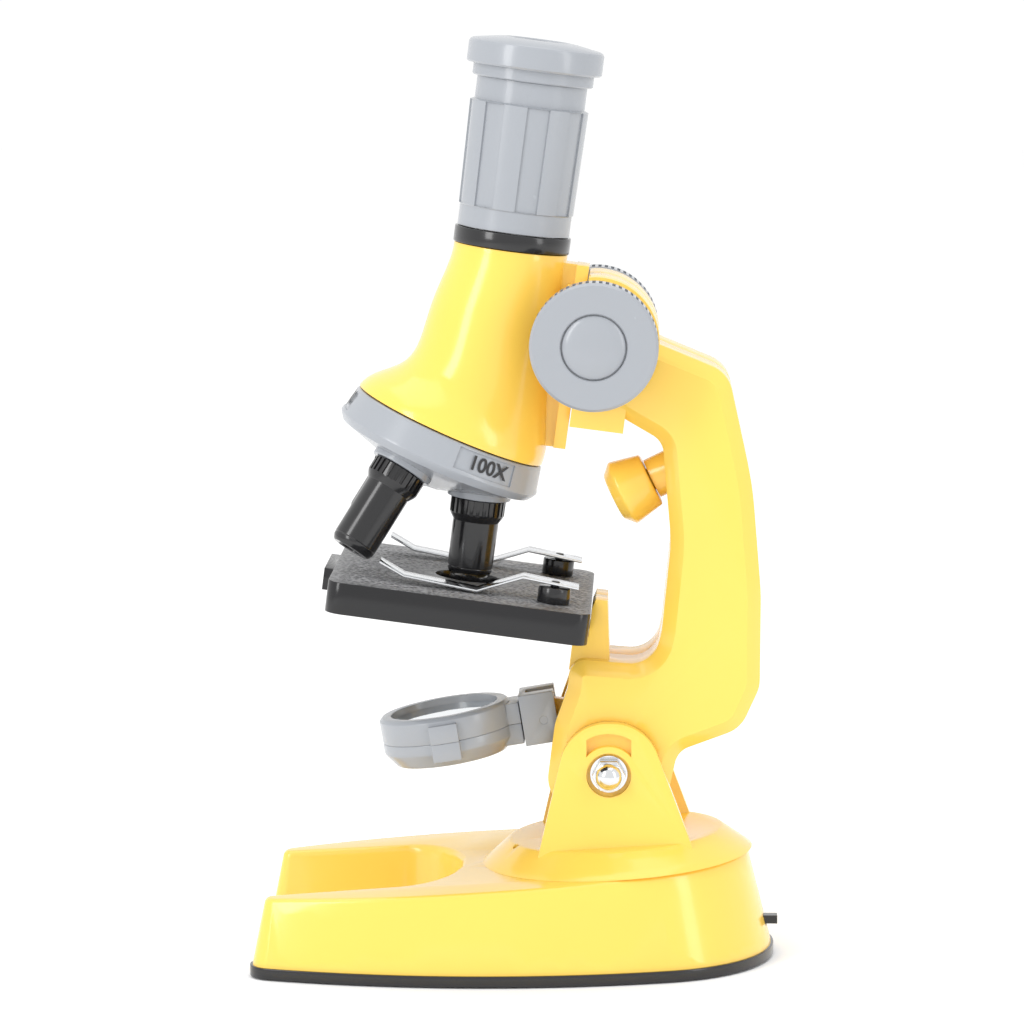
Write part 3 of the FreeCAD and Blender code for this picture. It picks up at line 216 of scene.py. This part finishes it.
CHROME = plated("nickel_plate", linear(222, 224, 226), 0.12, 0.10)
ZINC = plated("zinc_plate", linear(186, 188, 190), 0.32, 0.18)
MIRROR = plated("mirror_plate", linear(236, 240, 242), 0.03, 0.02)


def soft_rubber():
    paint = Paint("rubber_foot", linear(42, 42, 43), 0.75)
    paint.bump(paint.noise(900.0, 4.0), 0.25, 0.0003)
    return paint.material


def clear_lens():
    paint = Paint("clear_acrylic", linear(236, 243, 246), 0.05, Transmission_Weight=1.0, IOR=1.49)
    paint.feed("Roughness", 0.04 + paint.noise(300.0) * 0.04)
    return paint.material


RUBBER, LENS = soft_rubber(), clear_lens()

# %% [markdown]
# ## The stage's leather grain
# The top of the stage is etched like leather, and its sides are polished. The grain is a cell pattern
# broken up by noise, and a mask taken from the surface's own direction keeps it to the top. The grain's
# peaks are also painted light grey there: a painted sheen on the etched top, not the plastic's own colour.

# %% Stage finish


def grain_and_painted_sheen():
    up = ARM.to_3x3().col[2]
    paint = Paint("stage_black", linear(20, 20, 22), 0.3)
    facing = paint.add("ShaderNodeVectorMath", {"operation": "DOT_PRODUCT"},
                       {0: paint.add("ShaderNodeTexCoord", output="Normal"), 1: tuple(up)}, "Value")
    mask = paint.add("ShaderNodeMapRange", None,
                     {"Value": facing, "From Min": 0.97, "From Max": 0.995})
    cells = paint.add("ShaderNodeTexVoronoi", None, {"Vector": paint.place(), "Scale": 900.0}, "Distance")
    fine = paint.noise(1900.0, 2.0)
    grain = (cells * 0.7 + fine * 0.6) * mask
    paint.bump(grain, 1.0, 0.0007)
    paint.feed("Roughness", 0.17 + mask * 0.33)
    # painted sheen: the grain's peaks on the top are painted light grey into the black base colour
    painted_peak_sheen = paint.add("ShaderNodeMapRange", None,
                      {"Value": cells * 0.6 + fine * 0.7, "From Min": 0.38, "From Max": 0.80})
    paint.feed("Base Color", paint.blend(painted_peak_sheen * mask, linear(20, 20, 22), linear(150, 150, 152)))
    return paint.material


STAGE_BLACK = grain_and_painted_sheen()
FINISHES = {
    "yellow_shell": YELLOW, "grey_plastic": GREY, "black_plastic": BLACK, "stage_plastic": STAGE_BLACK,
    "chrome_steel": CHROME, "steel_screw": ZINC, "plated_contact": CHROME, "rubber": RUBBER,
    "cell_sleeve": SLEEVE_BLUE, "lead_sleeve": LEAD_RED, "mirror_glass": MIRROR, "clear_lens": LENS,
    "board": BOARD_GREEN,
}
GREY_PIN = "swivel_pin"         # the steel pin's ends are capped in the block's own grey
SLOT_OF = {row["node"]: row["material_slot"] for row in frame["record"]["subparts"]}
BODY_OF = {name: body for body, names in frame["record"]["behaviour"]["bodies"].items()
           for name in names}
for name, item in nodes.items():
    item.data.materials.clear()
    item.data.materials.append(GREY if name == GREY_PIN else FINISHES[SLOT_OF[name]])
print("finishes on", len(nodes), "nodes")

# %% [markdown]
# ## How a piece is finished off
# Each new piece is placed in the frame, its faces are turned outwards, and it is tied to its body.

# %% Helpers for modelling


def clear_selection():
    if bpy.context.object and bpy.context.object.mode != "OBJECT":
        bpy.ops.object.mode_set(mode="OBJECT")
    bpy.ops.object.select_all(action="DESELECT")


def only(item):
    clear_selection()
    item.select_set(True)
    bpy.context.view_layer.objects.active = item


def settle(item, matrix):
    """Move a piece to its place and put that place into its mesh."""
    only(item)
    item.matrix_world = matrix
    bpy.ops.object.transform_apply(location=True, rotation=True, scale=True)


def smooth(item, degrees=32):
    only(item)
    bpy.ops.object.shade_smooth_by_angle(angle=math.radians(degrees))


def finish_piece(item, name, stands_for, finish=None, slot=None):
    """Name a piece, give it its finish, and tie it to the body of the node that it stands for."""
    slot = slot or SLOT_OF[stands_for[0]]
    item.name = name
    item.data.materials.clear()
    item.data.materials.append(finish or FINISHES[slot])
    only(item)
    bpy.ops.object.mode_set(mode="EDIT")
    bpy.ops.mesh.select_all(action="SELECT")
    bpy.ops.mesh.remove_doubles(threshold=0.000002)
    bpy.ops.mesh.normals_make_consistent(inside=False)
    bpy.ops.object.mode_set(mode="OBJECT")
    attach(item, BODY_OF[stands_for[0]])
    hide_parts(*stands_for)
    print(name, "faces", len(item.data.polygons))


def lathe(rings, sides=96):
    """A closed turned piece, extruded ring by ring from (radius, height) in millimetres."""
    clear_selection()
    radius, height = rings[0]
    bpy.ops.mesh.primitive_circle_add(vertices=sides, radius=radius * MM, fill_type="NGON",
                                      location=(0, 0, height * MM))
    item = bpy.context.object
    bpy.ops.object.transform_apply(location=True)
    bpy.ops.object.mode_set(mode="EDIT")
    bpy.ops.mesh.select_all(action="SELECT")
    for next_radius, next_height in rings[1:]:
        bpy.ops.mesh.extrude_region_move(
            TRANSFORM_OT_translate={"value": (0, 0, (next_height - height) * MM)})
        if next_radius != radius:
            bpy.ops.transform.resize(value=(next_radius / radius, next_radius / radius, 1),
                                     center_override=(0, 0, next_height * MM))
        radius, height = next_radius, next_height
    bpy.ops.object.mode_set(mode="OBJECT")
    return item


def pick_faces(item, chosen):
    """Select in edit mode the faces whose middle passes a test."""
    only(item)
    bpy.ops.object.mode_set(mode="EDIT")
    bpy.ops.mesh.select_mode(type="FACE")
    bpy.ops.mesh.select_all(action="DESELECT")
    bpy.ops.object.mode_set(mode="OBJECT")
    count = 0
    for face in item.data.polygons:
        if chosen(face.center / MM, face.normal):
            face.select = True
            count += 1
    bpy.ops.object.mode_set(mode="EDIT")
    return count


def flute(item, low, high, count, share, depth):
    """Press flutes into a turned wall: a share of each of count equal sectors moves in by depth."""
    def in_flute(middle, normal):
        if not low < middle.z < high or abs(normal.z) > 0.7:
            return False
        phase = (math.atan2(middle.y, middle.x) / math.tau * count) % 1.0
        return phase < share
    pick_faces(item, in_flute)
    radius = item.dimensions.x / 2 / MM
    bpy.ops.mesh.extrude_region_move()
    scale = 1 - depth / radius
    bpy.ops.transform.resize(value=(scale, scale, 1), center_override=(0, 0, 0))
    bpy.ops.object.mode_set(mode="OBJECT")


# %% [markdown]
# ## Polished copies of the moulded shells
# A moulded part never has a knife edge: its mould is rounded a little everywhere, and that thin round is
# what catches the light. The CAD shells are copied, merged, and given it with a bevel.

# %% Shells with softened edges


def polished(node, radius=0.35, segments=2, degrees=30):
    """A copy of a CAD node with its doubles merged, flats joined and sharp edges rounded."""
    clear_selection()
    item = nodes[node].copy()
    item.data = nodes[node].data.copy()
    bpy.context.scene.collection.objects.link(item)
    item.parent = None
    item.matrix_world = Matrix.Identity(4)
    for key in list(item.keys()):
        del item[key]
    only(item)
    bpy.ops.object.mode_set(mode="EDIT")
    bpy.ops.mesh.select_all(action="SELECT")
    bpy.ops.mesh.remove_doubles(threshold=0.00001)
    bpy.ops.mesh.dissolve_limited(angle_limit=math.radians(0.08))
    bpy.ops.object.mode_set(mode="OBJECT")
    edge = item.modifiers.new("edge", "BEVEL")
    edge.width = radius * MM
    edge.segments = segments
    edge.limit_method = "ANGLE"
    edge.angle_limit = math.radians(degrees)
    edge.use_clamp_overlap = True
    bpy.ops.object.modifier_apply(modifier="edge")
    smooth(item, 35)
    item.name = node + "_polished"
    item.data.materials.clear()
    item.data.materials.append(FINISHES[SLOT_OF[node]])
    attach(item, BODY_OF[node])
    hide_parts(node)
    print(item.name, "faces", len(item.data.polygons))
    return item


for name, radius in (("base_shell", 0.3), ("pedestal_yoke", 0.7), ("arm_near_shell", 0.4),
                     ("arm_far_shell", 0.4), ("stage", 0.5), ("tube_body", 0.25), ("bottom_plate", 0.25),
                     ("lamp_upper_ring", 0.4), ("lamp_lower_ring", 0.4), ("swivel_block", 0.5),
                     ("lamp_stub", 0.3), ("stage_clip_near", 0.12), ("stage_clip_far", 0.12),
                     ("cap_nut", 0.15), ("tube_collar", 0.3), ("clip_posts", 0.25), ("arm_knob", 0.4)):
    polished(name, radius)

# %% [markdown]
# ## The eyepiece
# The grip has eight raised panels with eight sunk ones between. It starts as a turned sleeve, and the sunk
# panels are pressed in with an extrude and a scale. The cap is a wide rim with a cup for the eye.

# %% Eyepiece grip and cap
PANELS = 8
GRIP_LOW, GRIP_HIGH = 128.6, 153.1
grip = lathe([(13.35, 123.5), (13.35, 128.3), (13.65, GRIP_LOW), (14.1, GRIP_HIGH), (13.1, 153.5),
              (13.1, 158.8)], 192)
flute(grip, GRIP_LOW, GRIP_HIGH, PANELS, 0.5, 0.45)
settle(grip, TUBE)
finish_piece(grip, "eyepiece_grip", ["eyepiece_barrel"])
smooth(grip, 28)
cap = lathe([(14.0, 158.9), (14.35, 159.2), (14.35, 161.6), (15.7, 161.8), (16.1, 162.2), (16.1, 166.6),
             (15.8, 167.2), (15.2, 167.6), (9.4, 168.6), (7.9, 168.75), (7.35, 168.5), (7.2, 168.0),
             (7.2, 165.8)], 160)
settle(cap, TUBE)
finish_piece(cap, "eyepiece_rim", ["eyepiece_cap"])
smooth(cap, 28)

# %% [markdown]
# ## Focus knobs
# A coin-edged knob is a disc whose rim is cut into teeth, one flute to each. The groove round the domed
# cap is real depth, because its shadow is what makes the cap read as a separate piece.

# %% Knobs and their caps
TEETH = 60
KNOB_IN, KNOB_OUT = 21.2, 29.6
for name, side in (("near", -1), ("far", 1)):
    facing = SHAFT @ turn("X", -90 * side) @ at(z=KNOB_IN)
    thick = KNOB_OUT - KNOB_IN
    knob = lathe([(5.0, -4.6), (5.0, 0.0), (14.4, 0.0), (15.0, 0.7), (15.0, thick - 0.7),
                  (14.4, thick), (8.0, thick), (7.75, thick - 0.25), (7.7, thick - 1.1)], TEETH * 2)
    flute(knob, 0.7, thick - 0.7, TEETH, 0.5, 0.5)
    settle(knob, facing)
    finish_piece(knob, "focus_knob_" + name + "_edge", ["focus_knob_" + name])
    smooth(knob, 30)
dome_pair = []
for side in (-1, 1):
    dome = lathe([(7.35, 0.0), (7.35, 0.8), (7.1, 1.05), (6.2, 1.45), (4.9, 1.8), (3.3, 2.05),
                  (1.5, 2.15)], 96)
    settle(dome, SHAFT @ turn("X", -90 * side) @ at(z=KNOB_OUT - 1.2))
    dome_pair.append(dome)
clear_selection()
for dome in dome_pair:
    dome.select_set(True)
bpy.context.view_layer.objects.active = dome_pair[0]
bpy.ops.object.join()
finish_piece(dome_pair[0], "knob_domes", ["knob_caps"])
smooth(dome_pair[0], 40)

# %% [markdown]
# ## Objectives
# Each one is a knurled ring to hold and a plain barrel that ends in a narrow tip.

# %% Objectives
COLLET, SHORT, LONG = 46.4, 65.1, 68.7
RIBS = 26
lean = math.degrees(DRUM_LEAN)
for place, (name, drop) in enumerate((("objective_100x", SHORT), ("objective_400x", SHORT),
                                      ("objective_1200x", LONG))):
    barrel = lathe([(4.2, -COLLET + 3.6), (4.2, -COLLET), (6.3, -COLLET), (6.6, -COLLET - 0.3),
                    (6.55, -COLLET - 3.7), (6.3, -COLLET - 4.3), (5.5, -COLLET - 5.6),
                    (5.42, 2.1 - drop), (5.3, 1.95 - drop), (5.38, 1.8 - drop), (5.3, 1.2 - drop),
                    (4.9, 0.4 - drop), (4.5, -drop), (2.3, -drop), (2.2, 0.9 - drop)], RIBS * 4)
    flute(barrel, -COLLET - 3.6, -COLLET - 0.4, RIBS, 0.5, 0.35)
    settle(barrel, TURRET @ turn("Z", 120 * place) @ turn("Y", -lean))
    finish_piece(barrel, name + "_barrel", [name])
    smooth(barrel, 30)

# %% [markdown]
# ## The turret drum and its number plates
# Between two objectives the drum's wall has a sunk plate with the magnification on it. The number is a
# generic dial number, set in the plain built-in face.

# %% Turret drum
SEAM, DRUM_LOW = -31.4, -38.0
PLATE_TOP, PLATE_FOOT = -32.1, -37.2
drum = lathe([(22.9, SEAM), (23.5, SEAM - 0.15), (23.8, SEAM - 0.5), (23.92, PLATE_TOP),
              (25.1, PLATE_FOOT), (25.28, DRUM_LOW + 0.5),
              (25.4, DRUM_LOW), (25.2, DRUM_LOW - 0.5), (24.2, DRUM_LOW - 1.9), (4.0, DRUM_LOW - 8.6)], 180)
PLATE_HALF, FACE_GAP, PLATE_SINK = 19.0, -60, 0.984


def on_plate(middle, normal):
    """The wall between the plate's top and foot, within its half width in degrees of a gap."""
    if not PLATE_FOOT < middle.z < PLATE_TOP or abs(normal.z) > 0.7:
        return False
    angle = math.degrees(math.atan2(middle.y, middle.x)) - FACE_GAP
    return abs((angle + 60) % 120 - 60) < PLATE_HALF


print("plate faces", pick_faces(drum, on_plate))
bpy.ops.mesh.extrude_region_move()
bpy.ops.transform.resize(value=(PLATE_SINK, PLATE_SINK, 1), center_override=(0, 0, 0))
bpy.ops.object.mode_set(mode="OBJECT")
settle(drum, TURRET)


def socket_pads():
    """The three flat pads that the objectives screw into."""
    made = []
    for place in range(3):
        pad = lathe([(7.6, -42.8), (7.6, -46.2), (7.4, -46.38)], 64)
        settle(pad, TURRET @ turn("Z", 120 * place) @ turn("Y", -lean))
        made.append(pad)
    return made


pads = socket_pads()
clear_selection()
for item in [drum, *pads]:
    item.select_set(True)
bpy.context.view_layer.objects.active = drum
bpy.ops.object.join()
finish_piece(drum, "turret_drum_wall", ["turret_drum"])
smooth(drum, 30)

# %% Number plates
INK = moulded("plate_ink", linear(40, 40, 42), linear(32, 32, 34), 0.5)
PLATE_R, PLATE_Z = 24.14, -34.65
wall_lean = math.degrees(math.atan2(25.3 - 23.9, SEAM - DRUM_LOW))


def wall_spot(angle, out=0.0):
    """A frame on the drum's wall: X to the reader's right, Y up the wall, Z out of it."""
    side = Matrix(((0, 0, 1, 0), (1, 0, 0, 0), (0, 1, 0, 0), (0, 0, 0, 1)))
    return TURRET @ turn("Z", angle) @ at(x=PLATE_R + out, z=PLATE_Z) @ turn("Y", -wall_lean) @ side


for place, words in enumerate(("100X", "400X", "1200X")):
    clear_selection()
    bpy.ops.object.text_add()
    label = bpy.context.object
    label.data.body = words
    label.data.size = 4.8 * MM
    label.data.extrude = 0.05 * MM
    label.data.offset = 0.09 * MM
    label.data.align_x = "CENTER"
    label.data.align_y = "CENTER"
    only(label)
    bpy.ops.object.convert(target="MESH")
    label = bpy.context.object
    settle(label, wall_spot(FACE_GAP + 120 * place, 0.12))
    label.name = "plate_" + words.lower()
    label.data.materials.clear()
    label.data.materials.append(INK)
    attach(label, "turret")
print("number plates made")

# %% [markdown]
# ## Floor, light and camera
# White sweep, one wide softbox on each side and one overhead, which give the long soft reflections that
# polished plastic shows.

# %% Studio
clear_selection()
bpy.ops.mesh.primitive_plane_add(size=8.0)
floor = bpy.context.object
floor.name = "floor"
sweep = Paint("studio_sweep", (0.97, 0.97, 0.97), 0.9)
sweep.feed("Base Color", sweep.blend(sweep.noise(3.0) * 0.2, (0.975, 0.975, 0.975), (0.965, 0.965, 0.965)))
floor.data.materials.append(sweep.material)


def softbox(name, where, aim, wide, tall, power):
    light = bpy.data.lights.new(name, "AREA")
    light.shape = "RECTANGLE"
    light.size, light.size_y = wide, tall
    light.energy = power
    lamp = bpy.data.objects.new(name, light)
    bpy.context.scene.collection.objects.link(lamp)
    lamp.location = where
    lamp.rotation_euler = (Vector(aim) - Vector(where)).to_track_quat("-Z", "Y").to_euler()


CENTRE = (0, 0, 0.11)
softbox("softbox_left", (-0.75, -0.75, 0.65), CENTRE, 0.30, 0.9, 5)
softbox("softbox_right", (0.95, -0.6, 0.5), CENTRE, 0.25, 0.9, 2.2)
softbox("softbox_top", (0.0, 0.1, 1.3), CENTRE, 1.2, 1.0, 4)
bpy.context.scene.view_settings.view_transform = "Standard"
world = bpy.data.worlds.new("studio")
bpy.context.scene.world = world
world.use_nodes = True
world.node_tree.nodes["Background"].inputs["Color"].default_value = (1, 1, 1, 1)
world.node_tree.nodes["Background"].inputs["Strength"].default_value = 1.03

# %% Camera
camera_data = bpy.data.cameras.new("camera")
camera_data.lens = 155.8
camera_data.sensor_width = 36
camera = bpy.data.objects.new("camera", camera_data)
bpy.context.scene.collection.objects.link(camera)
camera.location = (0.0315, -1.050, 0.2443)
camera.rotation_euler = (math.radians(82.55), 0, math.radians(1.8))
bpy.context.scene.camera = camera
